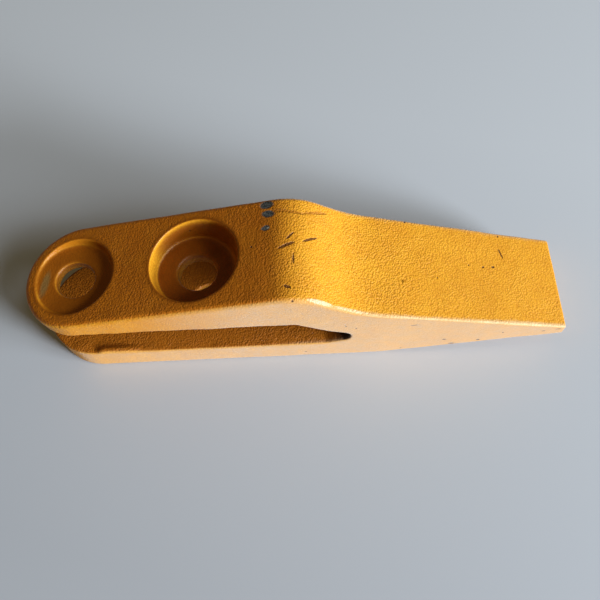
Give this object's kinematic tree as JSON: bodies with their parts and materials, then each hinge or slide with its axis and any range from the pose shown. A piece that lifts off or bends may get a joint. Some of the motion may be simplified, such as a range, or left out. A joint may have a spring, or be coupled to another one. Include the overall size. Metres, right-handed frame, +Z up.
{
  "type": "excavator bucket tooth",
  "caption": "Bolt-on cast bucket tooth: two straps clamp the bucket lip between them, with bolt pockets on top and a tapering digging blade.",
  "frame": {"origin": "on the flat underside, at the middle of the overall length and width", "axes": "+X along the tooth to the digging edge, +Y across the tooth, +Z up, from the lower strap to the upper strap"},
  "size_m": [0.288, 0.06, 0.0728],
  "materials": {
    "painted_casting": "satin yellow-orange paint over a rough sand-cast skin"
  },
  "bodies": {
    "root": {"tooth_casting": "painted_casting"}
  },
  "joints": []
}
